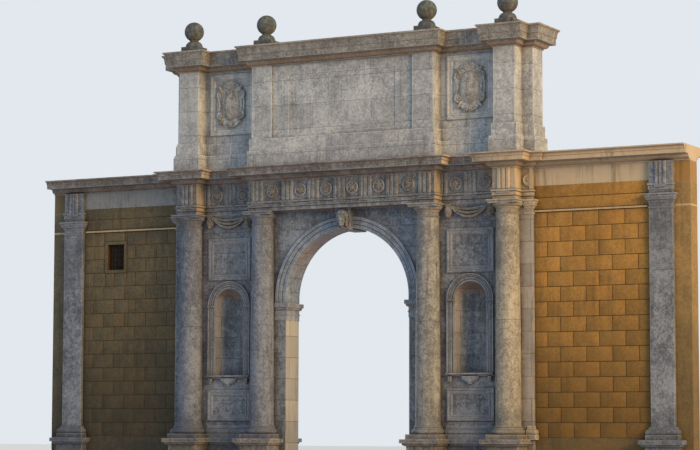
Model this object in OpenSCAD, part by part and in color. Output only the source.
// Triumphal arch with four Doric columns, an attic with ball finials, and two plastered wings.
// The origin is on the ground, midway through the thickness. The show front looks toward -Y.

/* [Archway] */
// Clear width between the piers
opening_w = 4000; // [3600:10:4600]
// Height from the crown of the opening to the underside of the architrave
crown_gap = 560; // [520:10:620]
// Width of the moulded arch ring on the face
ring_w = 330; // [280:5:380]
// How far the arch ring stands out from the wall face
ring_out = 70; // [40:5:100]
// Thickness of the main wall
wall_t = 760; // [650:10:900]

/* [Columns] */
// Distance from the edge of the opening to the axis of an inner column
inner_gap = 690; // [680:5:760]
// Distance between the two column axes of one side
column_pitch = 2455; // [2400:5:2600]
// Distance of a column axis in front of the wall face
axis_out = 195; // [150:5:240]
// Radius of a shaft at its foot
shaft_foot_r = 360; // [330:5:380]
// Radius of a shaft under its capital
shaft_head_r = 318; // [290:2:330]
// Height of a column pedestal
pedestal_h = 1460; // [1200:10:1700]
// Half the width of a pedestal die
pedestal_half = 460; // [440:5:480]
// How far the pedestal cornice overhangs the die
pedestal_out = 150; // [100:5:160]
// How far the foot block of a pedestal stands out from the die
foot_out = 210; // [170:5:215]
// Height of the foot block
foot_h = 150; // [120:5:200]
// Height of a column base
base_h = 364; // [300:2:400]
// Half the width of the square block of a column base
base_half = 480; // [470:5:500]
// Height of a capital with its neck
capital_h = 400; // [360:5:440]
// Half the width of an abacus
abacus_half = 450; // [430:5:470]

/* [Entablature] */
// Height of the underside of the architrave above the ground
architrave_z = 8080; // [8040:10:8200]
// Height of the architrave
architrave_h = 280; // [240:5:320]
// Height of the frieze
frieze_h = 595; // [540:5:640]
// Height of the main cornice
cornice_h = 405; // [360:5:440]
// How far the main cornice overhangs the frieze
cornice_out = 529; // [460:1:540]
// How far the entablature breaks forward over the columns
ressaut_out = 470; // [420:5:520]
// Half the width of the part that breaks forward over an outer column
ressaut_half = 332; // [320:2:350]
// Distance between the middle triglyphs
triglyph_step = 850; // [800:5:880]
// Width of a triglyph
triglyph_w = 400; // [340:5:430]
// How far the rear pilasters and rear entablature stand out
rear_out = 130; // [100:5:160]

/* [Attic] */
// Height of the lower plinth step
attic_step_h = 502; // [440:2:560]
// Height of the upper plinth step
attic_plinth_h = 348; // [300:2:400]
// Height of the attic wall above its plinth
dado_h = 2150; // [1900:10:2400]
// Height of the attic cornice
attic_cornice_h = 605; // [560:5:640]
// How far the attic cornice overhangs
attic_cornice_out = 384; // [340:2:400]
// How far the middle part reaches past the axis of an inner column
attic_past = 273; // [250:1:300]
// How far the middle part and the outer piers stand out from the wall face
attic_out = 414; // [380:2:440]
// Width of an end strip beside the tablet
strip_w = 664; // [600:2:700]
// Half the width of an outer attic pier
attic_pier_half = 327; // [310:1:340]

/* [Ball finials] */
// Radius of a stone ball
ball_r = 293; // [260:1:310]
// Width of the square plinth under a ball
ball_plinth_w = 563; // [520:1:600]
// Height of the square plinth under a ball
ball_plinth_h = 255; // [200:5:280]
// Height of the necked stem between plinth and ball
ball_neck_h = 150; // [120:5:180]

/* [Niches and panels] */
// Width of a niche
niche_w = 1000; // [900:10:1060]
// Height of the floor of a niche
niche_floor_z = 3308; // [3250:2:3400]
// Height of the springing of a niche head
niche_spring_z = 5376; // [5300:2:5400]
// Depth of a niche
niche_depth = 420; // [300:10:460]
// Width of the frame round a niche
niche_frame_w = 215; // [180:5:225]
// Gap between a panel and the parts that break forward beside it
panel_gap = 165; // [150:5:200]
// Width of the moulding round a panel
panel_frame_w = 180; // [150:5:200]
// Height of the upper panel
upper_panel_h = 1245; // [1100:5:1300]
// Height of the lower panel
lower_panel_h = 916; // [800:2:930]

/* [Wings] */
// Length of a wing beyond the main wall
wing_len = 4540; // [4200:10:5200]
// How far the wing face lies behind the main wall face
wing_set_back = 120; // [90:5:150]
// Width of the pilaster near the end of a wing
wing_pilaster_w = 810; // [700:5:900]
// Width of plain wall beyond that pilaster
wing_strip_w = 400; // [360:10:500]
// Width of the barred window
window_w = 600; // [500:10:650]
// Height of the barred window
window_h = 780; // [650:10:800]
// Distance from the main wall to the centre of the barred window
window_gap = 2230; // [1600:10:2500]
// Height of the window opening above the ground
window_z = 6563; // [6000:10:6700]

/* [Hidden] */
$fn = 64;

// Depths: the front overhang and the rear overhang are equal about the origin
face_y = ressaut_out + cornice_out - (ressaut_out + 2 * cornice_out + wall_t + rear_out) / 2;
back_y = face_y + wall_t;
ressaut_y = face_y - ressaut_out;
rear_y = back_y + rear_out;
axis_y = face_y - axis_out;
wing_y = face_y + wing_set_back;
wing_back_y = back_y - wing_set_back;

// Widths
opening_half = opening_w / 2;
inner_axis_x = opening_half + inner_gap;
outer_axis_x = inner_axis_x + column_pitch;
centre_half = inner_axis_x + ressaut_half;
outer_in_x = outer_axis_x - ressaut_half;
outer_out_x = outer_axis_x + ressaut_half;
bay_mid_x = (inner_axis_x + outer_axis_x) / 2;
edge_x = outer_axis_x + 2 * ressaut_half + 1;
wing_lap = 30;
lap_x = edge_x - wing_lap;
wing_end_x = edge_x + wing_len;
wing_pilaster_x = wing_end_x - wing_strip_w - wing_pilaster_w / 2;
window_x = edge_x + window_gap;
panel_w = outer_in_x - centre_half - 2 * panel_gap;
attic_half = inner_axis_x + attic_past;
far = 2 * wing_end_x;

// Heights
frieze_z = architrave_z + architrave_h;
cornice_z = frieze_z + frieze_h;
attic_z = cornice_z + cornice_h;
attic_plinth_z = attic_z + attic_step_h;
dado_z = attic_plinth_z + attic_plinth_h;
attic_cornice_z = dado_z + dado_h;
top_z = attic_cornice_z + attic_cornice_h;
capital_z = architrave_z - capital_h;
spring_z = architrave_z - crown_gap - opening_half;
impost_h = 497;
impost_z = spring_z - 122 - impost_h;
crown_z = spring_z + opening_half;

// Attic depths
attic_face_y = face_y + 40;
attic_front_y = face_y - attic_out;
tablet_sink = 60;

stone = "#b9b1a4";
stone_dark = "#8f8a82";
plaster = "#b98545";
iron = "#3b3a38";

// Draws its children on the right, or mirrored on the left when s is negative
module on_side(s) {
    mirror([s < 0 ? 1 : 0, 0, 0]) children();
}

// Outward direction of the edge from point i of a plan to the next point
function edge_normal(plan, i) =
    let (a = plan[i], b = plan[(i + 1) % len(plan)], l = norm([b[0] - a[0], b[1] - a[1]]))
    [(b[1] - a[1]) / l, (a[0] - b[0]) / l];

// The plan's corners moved out by the distance out along every edge whose flag is 1
function moved(plan, out) = [
    for (i = [0 : len(plan) - 1])
        let (h = (i + len(plan) - 1) % len(plan))
        [plan[i][0], plan[i][1]]
            + out * plan[i][2] * edge_normal(plan, i)
            + out * plan[h][2] * edge_normal(plan, h)];

// A flat course of stone: the plan moved out, between two heights
module course(plan, out, z0, z1) {
    translate([0, 0, z0]) linear_extrude(z1 - z0) polygon(moved(plan, out));
}

// The points of a profile without any that repeats the one before it
function distinct(profile) = [
    for (i = [0 : len(profile) - 1]) if (i == 0 || profile[i] != profile[i - 1]) profile[i]];

// A moulding that runs round a plan with mitred corners; profile is a list of [out, z] from below.
// An edge whose flag is 0 is a flat end that shows the profile. The flat top and underside are
// made of tiles, which are convex groups of the plan's corners.
module moulding(plan, profile, tiles = [[0, 1, 2, 3]]) {
    steps = distinct(profile);
    n = len(plan);
    m = len(steps);
    points = [for (p = steps) for (c = moved(plan, p[0])) [c[0], c[1], p[1]]];
    runs = [for (i = [0 : n - 1]) if (plan[i][2] == 1) for (j = [0 : m - 2])
        [j * n + i, (j + 1) * n + i, (j + 1) * n + (i + 1) % n, j * n + (i + 1) % n]];
    ends = [for (i = [0 : n - 1]) if (plan[i][2] == 0) for (j = [0 : m - 2])
        if (steps[j + 1][1] > steps[j][1])
            let (k = (i + 1) % n, a = j * n, wider = j > 0 && steps[j - 1][1] == steps[j][1])
            concat([a + n + i, a + n + k, a + k], wider ? [a - n + k, a - n + i] : [], [a + i])];
    roofs = [for (t = tiles) [for (k = [len(t) - 1 : -1 : 0]) (m - 1) * n + t[k]]];
    polyhedron(points, concat(tiles, runs, ends, roofs));
}

// Tiles of a plan with 8 corners that breaks forward once
forward_tiles = [[0, 1, 7], [1, 2, 3, 4], [1, 4, 6, 7], [4, 5, 6]];
// Tiles of the plan that runs on over a wing
wing_tiles = [[0, 1, 11], [1, 2, 3, 4], [1, 4, 10, 11], [4, 5, 6], [4, 6, 9], [4, 9, 10],
    [6, 7, 8, 9]];

// Keeps what stands in front of the main wall face
module before_wall() {
    intersection() {
        children();
        translate([-far, face_y - far, -far]) cube([2 * far, far, 2 * far]);
    }
}

// Points of a quarter-round from [x0, z0] to [x1, z1]; bulge 1 swells out, -1 hollows in
function quarter(x0, z0, x1, z1, bulge, steps = 4) = [
    for (i = [0 : steps])
        let (a = 90 * i / steps)
        bulge > 0
            ? [x0 + (x1 - x0) * sin(a), z0 + (z1 - z0) * (1 - cos(a))]
            : [x0 + (x1 - x0) * (1 - cos(a)), z0 + (z1 - z0) * sin(a)]];

// A rectangle plan, moulded on three sides; back is the flag of the rear edge
function rect_plan(x0, x1, y0, y1, back) = [[x0, y0, 1], [x1, y0, 1], [x1, y1, back], [x0, y1, 1]];

// Plan of the middle part of the entablature or attic, cut at the middle of each bay
function centre_plan(half, front_y, bay_y, rear) = [
    [-bay_mid_x, bay_y, 1], [-half, bay_y, 1], [-half, front_y, 1], [half, front_y, 1],
    [half, bay_y, 1], [bay_mid_x, bay_y, 0], [bay_mid_x, rear, 1], [-bay_mid_x, rear, 0]];

// Start of a side plan: from the middle of the bay round the part over the outer column
function side_start() = [
    [bay_mid_x, face_y, 1], [outer_in_x, face_y, 1], [outer_in_x, ressaut_y, 1],
    [outer_out_x, ressaut_y, 1], [outer_out_x, face_y, 1], [edge_x, face_y, 1]];

// Plan of the middle part of the entablature
function entablature_plan() = centre_plan(centre_half, ressaut_y, face_y, rear_y);

// Side plan that ends at the main wall's edge and is lapped by the wing behind its face
function lapped_plan() = concat(side_start(),
    [[edge_x, wing_y, 0], [lap_x, wing_y, 0], [lap_x, wing_back_y, 0],
    [edge_x, wing_back_y, 1], [edge_x, rear_y, 1], [bay_mid_x, rear_y, 0]]);

// Side plan that runs on over the wing to its far end
function wing_plan() = concat(side_start(),
    [[edge_x, wing_y, 1], [wing_end_x, wing_y, 0], [wing_end_x, wing_back_y, 1],
    [edge_x, wing_back_y, 1], [edge_x, rear_y, 1], [bay_mid_x, rear_y, 0]]);

// Main wall between the wing and the archway, with its niche
module pier(s) {
    color(stone) on_side(s) {
        difference() {
            union() {
                translate([opening_half, face_y, 0])
                    cube([lap_x - opening_half, wall_t, impost_z + impost_h]);
                translate([inner_axis_x, face_y, impost_z + impost_h])
                    cube([lap_x - inner_axis_x, wall_t, architrave_z - impost_z - impost_h]);
                translate([lap_x, face_y, 0]) cube([wing_lap, wing_set_back, architrave_z]);
                translate([lap_x, wing_back_y, 0]) cube([wing_lap, wing_set_back, architrave_z]);
            }
            niche_hollow();
        }
    }
}

// The hollow of a niche: half round in plan, with a head that closes as a quarter ball
module niche_hollow() {
    r = niche_w / 2;
    translate([bay_mid_x, face_y, 0]) {
        translate([0, niche_depth - r, niche_floor_z]) intersection() {
            cylinder(r = r, h = niche_spring_z - niche_floor_z);
            translate([-r, r - niche_depth - 1, 0]) cube([2 * r, niche_depth + 1, top_z]);
        }
        translate([0, niche_depth - r, niche_spring_z]) intersection() {
            sphere(r = r);
            translate([-r, r - niche_depth - 1, 0]) cube([2 * r, niche_depth + 1, r]);
        }
    }
}

// Half of the arch ring, from the impost to the keystone, with moulded faces front and back
module arch_ring(s) {
    r = opening_half;
    stilt = spring_z - impost_z - impost_h;
    profile = ring_profile();
    color(stone) on_side(s) difference() {
        union() {
            translate([0, 0, spring_z]) intersection() {
                rotate([90, 0, 0]) rotate_extrude($fn = 180) polygon(profile);
                translate([0, -2 * r, 0]) cube([2 * r, 4 * r, 2 * r]);
            }
            translate([0, 0, spring_z - stilt]) linear_extrude(stilt)
                polygon([for (p = profile) [p[0], -p[1]]]);
        }
        keystone_block(0);
    }
}

// Section of the arch ring: [distance from the arch centre, distance in front of the origin]
function ring_profile() =
    let (r = opening_half, f = -face_y, b = -back_y)
    [[r, b - ring_out / 2], [r, f + ring_out / 2], [r + ring_w * 0.38, f + ring_out / 2],
    [r + ring_w * 0.38, f + ring_out * 0.72], [r + ring_w * 0.76, f + ring_out * 0.72],
    [r + ring_w * 0.76, f + ring_out], [r + ring_w, f + ring_out], [r + ring_w, b - ring_out],
    [r + ring_w * 0.76, b - ring_out], [r + ring_w * 0.76, b - ring_out / 2]];

// Outline of the wedge of the keystone; grow widens it on each side
module keystone_block(grow) {
    translate([0, back_y + 100, 0]) rotate([90, 0, 0]) linear_extrude(wall_t + 100 + 300)
        polygon([[-key_foot_half - grow, crown_z - 60], [key_foot_half + grow, crown_z - 60],
            [key_head_half + grow, architrave_z], [-key_head_half - grow, architrave_z]]);
}
key_foot_half = 190;
key_head_half = 235;

// Side outline of the keystone: a scroll at the foot, a hollow, and a swelling under the top.
// Each point is [how far it stands out from the wall face, height above the crown].
key_curve = [[195, -60], [232, -48], [250, -15], [240, 25], [212, 55], [200, 95], [200, 170],
    [212, 250], [240, 330], [275, 400], [292, 440], [290, 480], [268, 500], [290, 512]];

// Keystone through the thickness of the wall, up to the underside of the architrave
module keystone_stone() {
    front = [for (p = key_curve) [face_y - p[0], crown_z + p[1]]];
    intersection() {
        keystone_block(0);
        translate([-key_head_half - 10, 0, 0]) rotate([90, 0, 90])
            linear_extrude(2 * key_head_half + 20)
            polygon(concat([[back_y + 100, crown_z - 60]], front,
                [[face_y - 290, architrave_z], [back_y + 100, architrave_z]]));
    }
}

module keystone() {
    color(stone) keystone_stone();
}

// Carved head on the front of the keystone, kept as a plain mass
module keystone_head() {
    color(stone_dark) difference() {
        translate([0, face_y - 240, crown_z + 210]) sphere(r = 170);
        keystone_stone();
    }
}

// Wall over the archway beside the arch ring
module spandrel(s) {
    low_z = impost_z + impost_h;
    color(stone) on_side(s) difference() {
        translate([0, face_y, low_z])
            cube([inner_axis_x, wall_t, architrave_z - low_z]);
        translate([0, face_y - 1, spring_z]) rotate([-90, 0, 0])
            cylinder(r = opening_half + ring_w, h = wall_t + 2, $fn = 128);
        translate([-1, face_y - 1, low_z - 1])
            cube([opening_half + ring_w + 1, wall_t + 2, spring_z - low_z + 1]);
        keystone_block(0);
    }
}

// Moulded impost round the arch pier, stopped against the inner column
module impost(s) {
    plan = rect_plan(opening_half, inner_axis_x - 200, face_y, back_y, 1);
    color(stone) on_side(s) difference() {
        moulding(plan, concat([[12, impost_z], [12, impost_z + 150], [30, impost_z + 150],
            [30, impost_z + 185], [12, impost_z + 185], [12, impost_z + 300]],
            quarter(30, impost_z + 300, 75, impost_z + 380, 1),
            [[105, impost_z + 380], [105, impost_z + impost_h]]));
        translate([opening_half, face_y, impost_z - 1])
            cube([inner_axis_x, wall_t, impost_h + 2]);
        translate([inner_axis_x, axis_y, impost_z - 1])
            cylinder(r = shaft_foot_r, h = impost_h + 2);
        translate([inner_axis_x - ressaut_half, back_y, impost_z - 1])
            cube([inner_axis_x, wall_t, impost_h + 2]);
    }
}

// Section of a pedestal whose die stands out by die: foot block, mouldings, die and cornice
function pedestal_profile(die) = concat(
    [[die + foot_out, 0], [die + foot_out, foot_h], [die + foot_out * 0.6, foot_h + 12]],
    quarter(die + foot_out * 0.6, foot_h + 12, die + 15, foot_h + 100, 1, 3),
    [[die, foot_h + 115], [die, pedestal_h - 190]],
    quarter(die + 20, pedestal_h - 190, die + 100, pedestal_h - 110, 1, 3),
    [[die + pedestal_out, pedestal_h - 110], [die + pedestal_out, pedestal_h]]);

// Section of the base of a pilaster or wall, from the height z
function base_profile(z) =
    let (b = base_h)
    concat([[100, z + b * 0.03], [100, z + b * 0.38]],
        [for (a = [-75 : 30 : 75]) [55 + 40 * cos(a), z + b * (0.58 + 0.19 * sin(a))]],
        [[30, z + b * 0.78], [30, z + b * 0.85], [15, z + b * 0.89], [22, z + b * 0.96],
        [8, z + b], [0, z + b * 1.06]]);

// Section of the capital of a pilaster or wall: astragal, neck, quarter-round and abacus
function capital_profile(z) =
    let (c = capital_h)
    concat([[16, z]], [for (a = [-60 : 30 : 60]) [8 + 18 * cos(a), z + c * (0.06 + 0.05 * sin(a))]],
        [[0, z + c * 0.13], [0, z + c * 0.4], [16, z + c * 0.4], [16, z + c * 0.46],
        [32, z + c * 0.46], [32, z + c * 0.52]],
        quarter(32, z + c * 0.52, 90, z + c * 0.75, 1),
        [[108, z + c * 0.75], [108, z + c * 0.9], [132, z + c * 0.9], [132, z + c]]);

// Low pedestal under a column
module pedestal(x) {
    plan = rect_plan(x - pedestal_half, x + pedestal_half, axis_y - pedestal_half, face_y, 0);
    color(stone) moulding(plan, pedestal_profile(0));
}

// Base and shaft of a column, cut flat where it stands against the wall
module column(x) {
    r = shaft_foot_r;
    b = base_h;
    shaft_z1 = capital_z - pedestal_h;
    belly = [for (i = [0 : 8])
        let (t = i / 8)
        [r - (r - shaft_head_r) * pow(t, 1.7), b + 60 + (shaft_z1 - b - 60) * t]];
    color(stone) before_wall() {
        translate([x, axis_y, pedestal_h]) union() {
            translate([-base_half, -base_half, 0]) cube([2 * base_half, 2 * base_half, b * 0.38]);
            rotate_extrude(convexity = 4) polygon(concat([[0, b * 0.38], [base_half - 40, b * 0.38]],
                [for (a = [-75 : 30 : 75])
                    [base_half - 80 + 70 * cos(a), b * (0.58 + 0.2 * sin(a))]],
                [[r + 50, b * 0.79], [r + 50, b * 0.86], [r + 30, b * 0.9],
                [r + 42, b * 0.965], [r + 25, b], [r + 8, b * 1.07]],
                belly, [[0, shaft_z1]]));
        }
    }
}

// Doric capital: astragal, neck, quarter-round and square abacus
module capital(x) {
    r = shaft_head_r;
    c = capital_h;
    color(stone) before_wall() {
        translate([x, axis_y, capital_z]) union() {
            rotate_extrude(convexity = 4) polygon(concat([[0, 0], [r + 16, 0]],
                [for (a = [-60 : 30 : 60]) [r + 12 + 22 * cos(a), c * (0.06 + 0.055 * sin(a))]],
                [[r, c * 0.14], [r, c * 0.4], [r + 16, c * 0.4], [r + 16, c * 0.46],
                [r + 32, c * 0.46], [r + 32, c * 0.52]],
                quarter(r + 32, c * 0.52, r + 110, c * 0.75, 1), [[0, c * 0.75]]));
            translate([-abacus_half + 25, -abacus_half + 25, c * 0.75])
                cube([2 * abacus_half - 50, 2 * abacus_half - 50, c * 0.15]);
            translate([-abacus_half, -abacus_half, c * 0.9])
                cube([2 * abacus_half, 2 * abacus_half, c * 0.1]);
        }
    }
}

// A moulding along a straight wall face at y, from x0 to x1; profile is a list of [out, z]
module straight_run(x0, x1, y, profile) {
    m = len(profile);
    translate([x0, 0, 0]) rotate([90, 0, 90]) linear_extrude(x1 - x0)
        polygon(concat([[y, profile[0][1]]], [for (p = profile) [y - p[0], p[1]]],
            [[y, profile[m - 1][1]]]));
}

// Base mouldings and podium cornice along the wall of a bay, between two pedestals
module base_course(s) {
    podium_gap = pedestal_half + pedestal_out;
    color(stone) on_side(s) {
        straight_run(inner_axis_x + base_half, outer_axis_x - base_half, face_y,
            concat([[100, pedestal_h]], base_profile(pedestal_h)));
        straight_run(inner_axis_x + podium_gap, outer_axis_x - podium_gap, face_y,
            concat(quarter(20, pedestal_h - 190, 70, pedestal_h - 110, 1, 3),
                [[110, pedestal_h - 110], [110, pedestal_h]]));
    }
}

// Base and capital of the flat strip between an outer column and the wing
module respond(s) {
    module round_corner(x0, profile) {
        moulding([[x0, face_y, 1], [edge_x, face_y, 1], [edge_x, wing_y, 0], [x0, wing_y, 0]],
            profile);
    }
    color(stone) on_side(s) difference() {
        union() {
            round_corner(outer_axis_x + base_half,
                concat([[100, pedestal_h]], base_profile(pedestal_h)));
            round_corner(outer_axis_x + abacus_half - 30, capital_profile(capital_z));
        }
        translate([outer_axis_x, face_y, 0]) cube([edge_x - outer_axis_x, wall_t, top_z]);
        translate([outer_axis_x, axis_y - abacus_half, capital_z + capital_h * 0.75])
            cube([abacus_half, 2 * abacus_half, capital_h]);
    }
}

// Section of a pilaster from the ground to the top of its capital
function pilaster_profile() = concat(pedestal_profile(110), base_profile(pedestal_h),
    [[0, capital_z]], capital_profile(capital_z));

// Flat pilaster on a wall face at y: half its width, how far it stands out, and its section
module pilaster(x, y, half, out, profile) {
    moulding(rect_plan(x - half, x + half, y - out, y, 0), profile);
}

// Pilaster on the rear face, behind a column
module rear_pilaster(x) {
    color(stone) mirror([0, 1, 0])
        pilaster(x, -back_y, ressaut_half, rear_out, pilaster_profile());
}

// A moulded frame on the plane y = 0: outer width w, height h, foot at z = 0
module panel_frame(w, h) {
    b = panel_frame_w;
    profile = [[0, 0], [0, 36], [b * 0.1, 50], [b * 0.32, 50], [b * 0.4, 28], [b * 0.64, 20],
        [b * 0.68, 38], [b * 0.84, 38], [b * 0.94, 14], [b, 12], [b, 0]];
    n = len(profile);
    points = [for (p = profile) for (c = [[-1, 0], [1, 0], [1, 1], [-1, 1]])
        [c[0] * (w / 2 - p[0]), -p[1], c[1] == 0 ? p[0] : h - p[0]]];
    polyhedron(points, [for (j = [0 : n - 1]) for (k = [0 : 3])
        let (j2 = (j + 1) % n, k2 = (k + 1) % 4)
        [4 * j + k, 4 * j2 + k, 4 * j2 + k2, 4 * j + k2]]);
}

// Upper and lower moulded panels of a bay, front and rear
upper_panel_z = 6122;
lower_panel_z = 1973;
module bay_panels(s) {
    module pair(y) {
        translate([bay_mid_x, y, upper_panel_z]) panel_frame(panel_w, upper_panel_h);
        translate([bay_mid_x, y, lower_panel_z]) panel_frame(panel_w, lower_panel_h);
    }
    color(stone) on_side(s) {
        pair(face_y);
        mirror([0, 1, 0]) pair(-back_y);
    }
}

// Section of a niche frame: [distance from the edge of the niche, how far it stands out]
function niche_profile() =
    let (b = niche_frame_w)
    [[0, 0], [0, 30], [b * 0.3, 30], [b * 0.3, 42], [b * 0.62, 42], [b * 0.62, 54],
    [b * 0.8, 54], [b * 0.87, 70], [b, 70], [b, 0]];

// Frame of a niche with its arch, and the sill on three brackets
module niche_frame(s) {
    r = niche_w / 2;
    b = niche_frame_w;
    sill_h = 90;
    sill_z = niche_floor_z - sill_h;
    color(stone) on_side(s) translate([bay_mid_x, face_y, 0]) {
        intersection() {
            translate([0, 0, niche_spring_z]) rotate([90, 0, 0]) rotate_extrude($fn = 96)
                polygon([for (p = niche_profile()) [r + p[0], p[1]]]);
            translate([-r - b, -100, niche_spring_z]) cube([2 * (r + b), 101, r + b]);
        }
        for (x = [-1, 1]) {
            translate([0, 0, niche_floor_z]) linear_extrude(niche_spring_z - niche_floor_z)
                polygon([for (p = niche_profile()) [x * (r + p[0]), -p[1]]]);
            translate([x * (r + b / 2) - b / 2 - (x < 0 ? 12 : 0), -84, niche_spring_z - 50])
                cube([b + 12, 84, 50]);
            translate([x * (r + b / 2), 0, sill_z]) bracket(55, 150);
        }
        bracket_bowl(sill_z);
        straight_run(-r - b, r + b, 0, [[60, sill_z], [60, sill_z + 20], [115, sill_z + 45],
            [140, sill_z + 45], [150, sill_z + 60], [150, sill_z + sill_h]]);
    }
}

// Small bracket under the end of a sill
module bracket(half, h) {
    rotate([90, 0, 0]) linear_extrude(90)
        polygon([[-half, 0], [-half, -h * 0.7], [-half * 0.45, -h], [half * 0.45, -h],
            [half, -h * 0.7], [half, 0]]);
}

// Bowl-shaped bracket under the middle of a sill, in two layers with their tops at z
module bracket_bowl(z) {
    outline = [[1, 0], [1, -0.16], [0.9, -0.34], [0.7, -0.53], [0.43, -0.7], [0.22, -0.8],
        [0.2, -1]];
    module layer(half, h, out) {
        translate([0, 0, z]) rotate([90, 0, 0]) linear_extrude(out)
            polygon(concat([for (p = outline) [half * p[0], h * p[1]]],
                [for (i = [len(outline) - 1 : -1 : 0])
                    [-half * outline[i][0], h * outline[i][1]]]));
    }
    layer(264, 215, 80);
    layer(215, 170, 115);
}

// Festoon hung under the architrave of a bay: a fat swag between two knots with tails
module festoon(s) {
    steps = 14;
    sides = 8;
    half = panel_w * 0.438;
    drop = 330;
    tail_h = 440;
    top = architrave_z - 90;
    line = [for (i = [0 : steps])
        let (t = -1 + 2 * i / steps)
        [half * t, top - drop * (1 - t * t)]];
    rings = [for (i = [0 : steps])
        let (t = -1 + 2 * i / steps, r = 45 + 45 * (1 - t * t), c = line[i],
            a = atan2(-2 * -drop * t, half))
        for (k = [0 : sides - 1])
            let (q = 360 * k / sides, u = r * cos(q), v = 100 * sin(q) * r / 90)
            [c[0] - u * sin(a), v - 105, c[1] + u * cos(a)]];
    color(stone_dark) on_side(s) translate([bay_mid_x, face_y, 0]) {
        intersection() {
            polyhedron(rings, concat([[for (k = [sides - 1 : -1 : 0]) k]],
                [for (i = [0 : steps - 1]) for (k = [0 : sides - 1])
                    [i * sides + k, i * sides + (k + 1) % sides,
                    (i + 1) * sides + (k + 1) % sides, (i + 1) * sides + k]],
                [[for (k = [0 : sides - 1]) steps * sides + k]]));
            translate([-far, -far, 0]) cube([2 * far, far, top_z]);
        }
        for (x = [-1, 1])
            translate([x * (half + 40), 0, architrave_z - tail_h])
                rotate([90, 0, 0]) linear_extrude(120)
                    polygon([[-75, 0], [75, 0], [55, tail_h], [-55, tail_h]]);
    }
}

// Architrave of two flat bands and a top fillet
band_h = 105;
fillet_h = 55;
module architrave_bands(plan) {
    course(plan, 0, architrave_z, architrave_z + band_h);
    course(plan, 18, architrave_z + band_h, frieze_z - fillet_h);
    course(plan, 40, frieze_z - fillet_h, frieze_z);
}

// A short fillet with six drops, under a triglyph on the line x of a face at y
module drops(x, y) {
    pitch = triglyph_w / 6;
    top = frieze_z - fillet_h;
    translate([x, y - 18, top]) rotate([90, 0, 0]) linear_extrude(24)
        polygon(concat([[-triglyph_w / 2, 0], [-triglyph_w / 2, -22]],
            [for (i = [-2.5 : 2.5]) each [[(i - 0.3) * pitch, -22], [(i - 0.42) * pitch, -56],
                [(i + 0.42) * pitch, -56], [(i + 0.3) * pitch, -22]]],
            [[triglyph_w / 2, -22], [triglyph_w / 2, 0]]));
}

module architrave_side(s) {
    color(stone) on_side(s) {
        architrave_bands(lapped_plan());
        drops(bay_mid_x, face_y);
        drops(outer_axis_x, ressaut_y);
    }
}

module architrave_centre() {
    color(stone) {
        architrave_bands(entablature_plan());
        for (x = triglyph_places()) drops(x, ressaut_y);
    }
}

// Outline in plan of a triglyph: two full and two half grooves
function triglyph_outline() =
    let (w = triglyph_w, g = w / 6)
    [[-w / 2, 0], [-w / 2, -20], [-w / 2 + g / 2, -50], [-w / 2 + g, -50],
    [-w / 2 + g * 1.5, -20], [-w / 2 + g * 2, -50], [w / 2 - g * 2, -50],
    [w / 2 - g * 1.5, -20], [w / 2 - g, -50], [w / 2 - g / 2, -50], [w / 2, -20], [w / 2, 0]];

// Triglyph; side 1 keeps its right half and -1 its left half
module triglyph(side = 0) {
    w = triglyph_w;
    translate([0, 0, frieze_z]) linear_extrude(frieze_h) intersection() {
        polygon(triglyph_outline());
        if (side != 0) translate([side > 0 ? 0 : -w, -w]) square([w, 2 * w]);
        else translate([-w, -w]) square([2 * w, 2 * w]);
    }
}

// Roundel on a square field of the frieze: a ring with a boss
module roundel() {
    r = frieze_h * 0.33;
    translate([0, 0, frieze_z + frieze_h * 0.47]) rotate([90, 0, 0]) rotate_extrude()
        polygon([[0, 0], [r, 0], [r, 30], [r - 35, 45], [r - 55, 22], [r * 0.4, 22],
            [r * 0.3, 48], [0, 55]]);
}

// Frieze course over the middle part
module frieze_centre() {
    metope_x = (centre_half + bay_mid_x) / 2;
    color(stone) {
        course(entablature_plan(), 0, frieze_z, cornice_z);
        for (x = triglyph_places()) {
            translate([x, ressaut_y, 0]) triglyph();
            translate([x, rear_y, 0]) mirror([0, 1, 0]) triglyph();
        }
        for (i = [0 : 5])
            let (t = triglyph_places())
            translate([(t[i] + t[i + 1]) / 2, ressaut_y, 0]) roundel();
        for (s = [-1, 1]) {
            translate([s * centre_half, face_y, 0]) triglyph(s);
            translate([s * metope_x, face_y, 0]) roundel();
        }
    }
}
function triglyph_places() =
    concat([-inner_axis_x - 30], [for (i = [-2 : 2]) i * triglyph_step], [inner_axis_x + 30]);

// Frieze course over a bay, an outer column and a wing
module frieze_side(s) {
    strip = 90;
    color(stone) on_side(s) {
        course(wing_plan(), 0, frieze_z, cornice_z);
        translate([outer_axis_x, ressaut_y, 0]) triglyph();
        translate([bay_mid_x, face_y, 0]) triglyph();
        translate([outer_in_x, face_y, 0]) triglyph(-1);
        translate([(bay_mid_x + outer_in_x) / 2, face_y, 0]) roundel();
        translate([outer_axis_x, rear_y, 0]) mirror([0, 1, 0]) triglyph();
        intersection() {
            translate([edge_x - strip - 5, face_y, 0]) roundel();
            translate([outer_axis_x, face_y - far, 0])
                cube([edge_x - strip - 5 - outer_axis_x, far, top_z]);
        }
        translate([edge_x - strip, face_y - 30, frieze_z]) cube([strip, 30, frieze_h]);
    }
}

// Section of the main cornice: bed moulding, flat corona and a curved crown
function cornice_profile(z, h, out) = concat(
    [[30, z], [30, z + 40]], quarter(45, z + 40, 150, z + 130, 1), [[165, z + 135],
    [165, z + 160], [out - 100, z + 160], [out - 100, z + 265], [out - 80, z + 280]],
    quarter(out - 80, z + 280, out - 10, h + z - 35, -1), [[out, z + h - 35], [out, z + h]]);

module cornice_centre() {
    color(stone)
        moulding(entablature_plan(), cornice_profile(cornice_z, cornice_h, cornice_out),
            forward_tiles);
}

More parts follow.
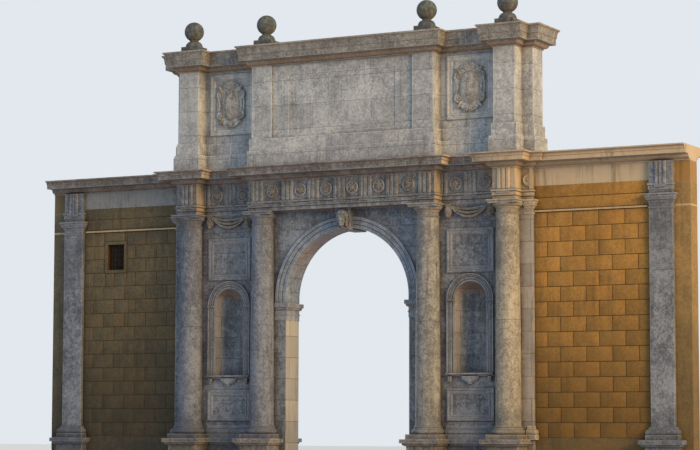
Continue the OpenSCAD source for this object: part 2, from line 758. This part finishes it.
module cornice_side(s) {
    color(stone) on_side(s)
        moulding(wing_plan(), cornice_profile(cornice_z, cornice_h, cornice_out), wing_tiles);
}

// Plans of the attic
function attic_centre_plan() = centre_plan(attic_half, attic_front_y, attic_face_y, back_y);
function attic_side_plan() = [
    [bay_mid_x, attic_face_y, 1], [outer_axis_x - attic_pier_half, attic_face_y, 1],
    [outer_axis_x - attic_pier_half, attic_front_y, 1],
    [outer_axis_x + attic_pier_half, attic_front_y, 1],
    [outer_axis_x + attic_pier_half, attic_face_y + 30, 1], [edge_x, attic_face_y + 30, 1],
    [edge_x, back_y, 1], [bay_mid_x, back_y, 0]];

// Plinth steps and wall of the attic over one plan
module attic_wall(plan) {
    course(plan, 100, attic_z, attic_plinth_z);
    course(plan, 50, attic_plinth_z, dado_z);
    course(plan, 0, dado_z, attic_cornice_z);
}

module attic_side(s) {
    color(stone) on_side(s) attic_wall(attic_side_plan());
}

// Middle part of the attic, with end strips and a bare sunk tablet
module attic_centre() {
    tablet_half = attic_half - strip_w;
    field_half = tablet_half - 560;
    color(stone) difference() {
        attic_wall(attic_centre_plan());
        translate([-tablet_half, attic_front_y - 1, dado_z])
            cube([2 * tablet_half, tablet_sink + 1, dado_h]);
        translate([-field_half, attic_front_y - 1, dado_z + 120])
            cube([2 * field_half, tablet_sink + 21, dado_h - 420]);
    }
}

// Cornice of the attic, with a deeper and plainer crown than the main one
function attic_cornice_profile(z, h, out) = concat([[30, z], [30, z + 40]],
    quarter(45, z + 40, 150, z + 150, 1), [[165, z + 165], [out - 90, z + 165],
    [out - 90, z + 340], [out - 70, z + 355]],
    quarter(out - 70, z + 355, out - 10, z + h - 45, -1), [[out, z + h - 45], [out, z + h]]);

module attic_cornice(plan) {
    moulding(plan, attic_cornice_profile(attic_cornice_z, attic_cornice_h, attic_cornice_out),
        forward_tiles);
}

module attic_cornice_centre() {
    color(stone) attic_cornice(attic_centre_plan());
}

module attic_cornice_side(s) {
    color(stone) on_side(s) attic_cornice(attic_side_plan());
}

// Framed shield in an attic bay, kept as a plain oval on a backing
module cartouche(s) {
    mid_z = (dado_z + attic_cornice_z) / 2 + 80;
    color(stone) on_side(s) translate([bay_mid_x, attic_face_y, 0]) {
        translate([0, 0, dado_z + 240]) panel_frame(panel_w, dado_h - 300);
        translate([0, 0, mid_z]) rotate([90, 0, 0]) {
            linear_extrude(70) scale([0.68, 1]) circle(r = dado_h * 0.32, $fn = 40);
            linear_extrude(110) scale([0.62, 1]) circle(r = dado_h * 0.2, $fn = 40);
        }
    }
}

// Stone ball on a necked stem and a square plinth
module ball_finial(x) {
    w = ball_plinth_w;
    h = ball_plinth_h;
    y = attic_front_y + w / 2 - 6;
    color(stone_dark) translate([x, y, top_z]) {
        translate([-w / 2, -w / 2, 0]) cube([w, w, h - 60]);
        rotate_extrude() polygon(concat([[0, h - 60], [w / 2 - 20, h - 60]],
            quarter(w / 2 - 20, h - 60, 110, h + ball_neck_h - 30, -1, 6),
            [[130, h + ball_neck_h - 25], [130, h + ball_neck_h], [0, h + ball_neck_h]]));
        translate([0, 0, h + ball_neck_h - 25 + ball_r]) sphere(r = ball_r);
    }
}

// Heights on a wing
string_z = 7725;
string_h = 65;

// Plastered wall of a wing with its string course
module wing_wall(s) {
    color(plaster) on_side(s) difference() {
        union() {
            translate([lap_x, wing_y, 0])
                cube([wing_end_x - lap_x, wing_back_y - wing_y, frieze_z]);
            translate([edge_x, wing_y - 45, string_z])
                cube([wing_pilaster_x - wing_pilaster_w / 2 - edge_x, 46, string_h]);
        }
        if (s < 0)
            translate([window_x - window_w / 2, wing_y - 1, window_z])
                cube([window_w, wing_back_y - wing_y + 2, window_h]);
    }
}

// Pilaster of a wing, with the pieces of architrave and frieze above it
module wing_pilaster(s) {
    entablature = [[0, architrave_z + 12], [0, architrave_z + band_h],
        [18, architrave_z + band_h], [18, frieze_z - fillet_h], [40, frieze_z - fillet_h],
        [40, frieze_z], [0, frieze_z + 12], [0, cornice_z]];
    color(stone) on_side(s) {
        pilaster(wing_pilaster_x, wing_y, wing_pilaster_w / 2, wing_set_back,
            concat(pilaster_profile(), entablature));
        translate([wing_pilaster_x, wing_y - wing_set_back, 0]) triglyph();
        drops(wing_pilaster_x, wing_y - wing_set_back);
    }
}

// Stone frame round the barred window
module window_frame() {
    b = 90;
    color(stone) on_side(-1) translate([window_x, wing_y, window_z - b])
        rotate([90, 0, 0]) linear_extrude(30) difference() {
            translate([-window_w / 2 - b, 0]) square([window_w + 2 * b, window_h + 2 * b]);
            translate([-window_w / 2, b]) square([window_w, window_h]);
        }
}

// Iron grille in the window
module window_grille() {
    bar = 18;
    color(iron) on_side(-1) translate([window_x, wing_y + 60, window_z]) {
        for (i = [1 : 4])
            translate([-window_w / 2 + i * window_w / 5 - bar / 2, 0, 0])
                cube([bar, bar, window_h]);
        for (i = [1 : 4])
            translate([-window_w / 2, 0, i * window_h / 5 - bar / 2])
                cube([window_w, bar, bar]);
    }
}

pier(-1);  // pier_left
pier(1);  // pier_right
arch_ring(-1);  // arch_ring_left
arch_ring(1);  // arch_ring_right
spandrel(-1);  // spandrel_left
spandrel(1);  // spandrel_right
keystone();
keystone_head();
impost(-1);  // impost_left
impost(1);  // impost_right
pedestal(-outer_axis_x);  // pedestal_outer_left
pedestal(-inner_axis_x);  // pedestal_inner_left
pedestal(inner_axis_x);  // pedestal_inner_right
pedestal(outer_axis_x);  // pedestal_outer_right
column(-outer_axis_x);  // column_outer_left
column(-inner_axis_x);  // column_inner_left
column(inner_axis_x);  // column_inner_right
column(outer_axis_x);  // column_outer_right
capital(-outer_axis_x);  // capital_outer_left
capital(-inner_axis_x);  // capital_inner_left
capital(inner_axis_x);  // capital_inner_right
capital(outer_axis_x);  // capital_outer_right
base_course(-1);  // base_course_left
base_course(1);  // base_course_right
niche_frame(-1);  // niche_frame_left
niche_frame(1);  // niche_frame_right
bay_panels(-1);  // bay_panels_left
bay_panels(1);  // bay_panels_right
festoon(-1);  // festoon_left
festoon(1);  // festoon_right
architrave_side(-1);  // architrave_left
architrave_centre();
architrave_side(1);  // architrave_right
frieze_side(-1);  // frieze_left
frieze_centre();
frieze_side(1);  // frieze_right
cornice_side(-1);  // cornice_left
cornice_centre();
cornice_side(1);  // cornice_right
attic_side(-1);  // attic_left
attic_centre();
attic_side(1);  // attic_right
attic_cornice_side(-1);  // attic_cornice_left
attic_cornice_centre();
attic_cornice_side(1);  // attic_cornice_right
cartouche(-1);  // cartouche_left
cartouche(1);  // cartouche_right
ball_finial(-outer_axis_x);  // ball_finial_outer_left
ball_finial(-attic_half + strip_w / 2);  // ball_finial_inner_left
ball_finial(attic_half - strip_w / 2);  // ball_finial_inner_right
ball_finial(outer_axis_x);  // ball_finial_outer_right
wing_wall(-1);  // wing_wall_left
wing_wall(1);  // wing_wall_right
wing_pilaster(-1);  // wing_pilaster_left
wing_pilaster(1);  // wing_pilaster_right
rear_pilaster(-outer_axis_x);  // rear_pilaster_outer_left
rear_pilaster(-inner_axis_x);  // rear_pilaster_inner_left
rear_pilaster(inner_axis_x);  // rear_pilaster_inner_right
rear_pilaster(outer_axis_x);  // rear_pilaster_outer_right
respond(-1);  // respond_left
respond(1);  // respond_right
window_frame();
window_grille();
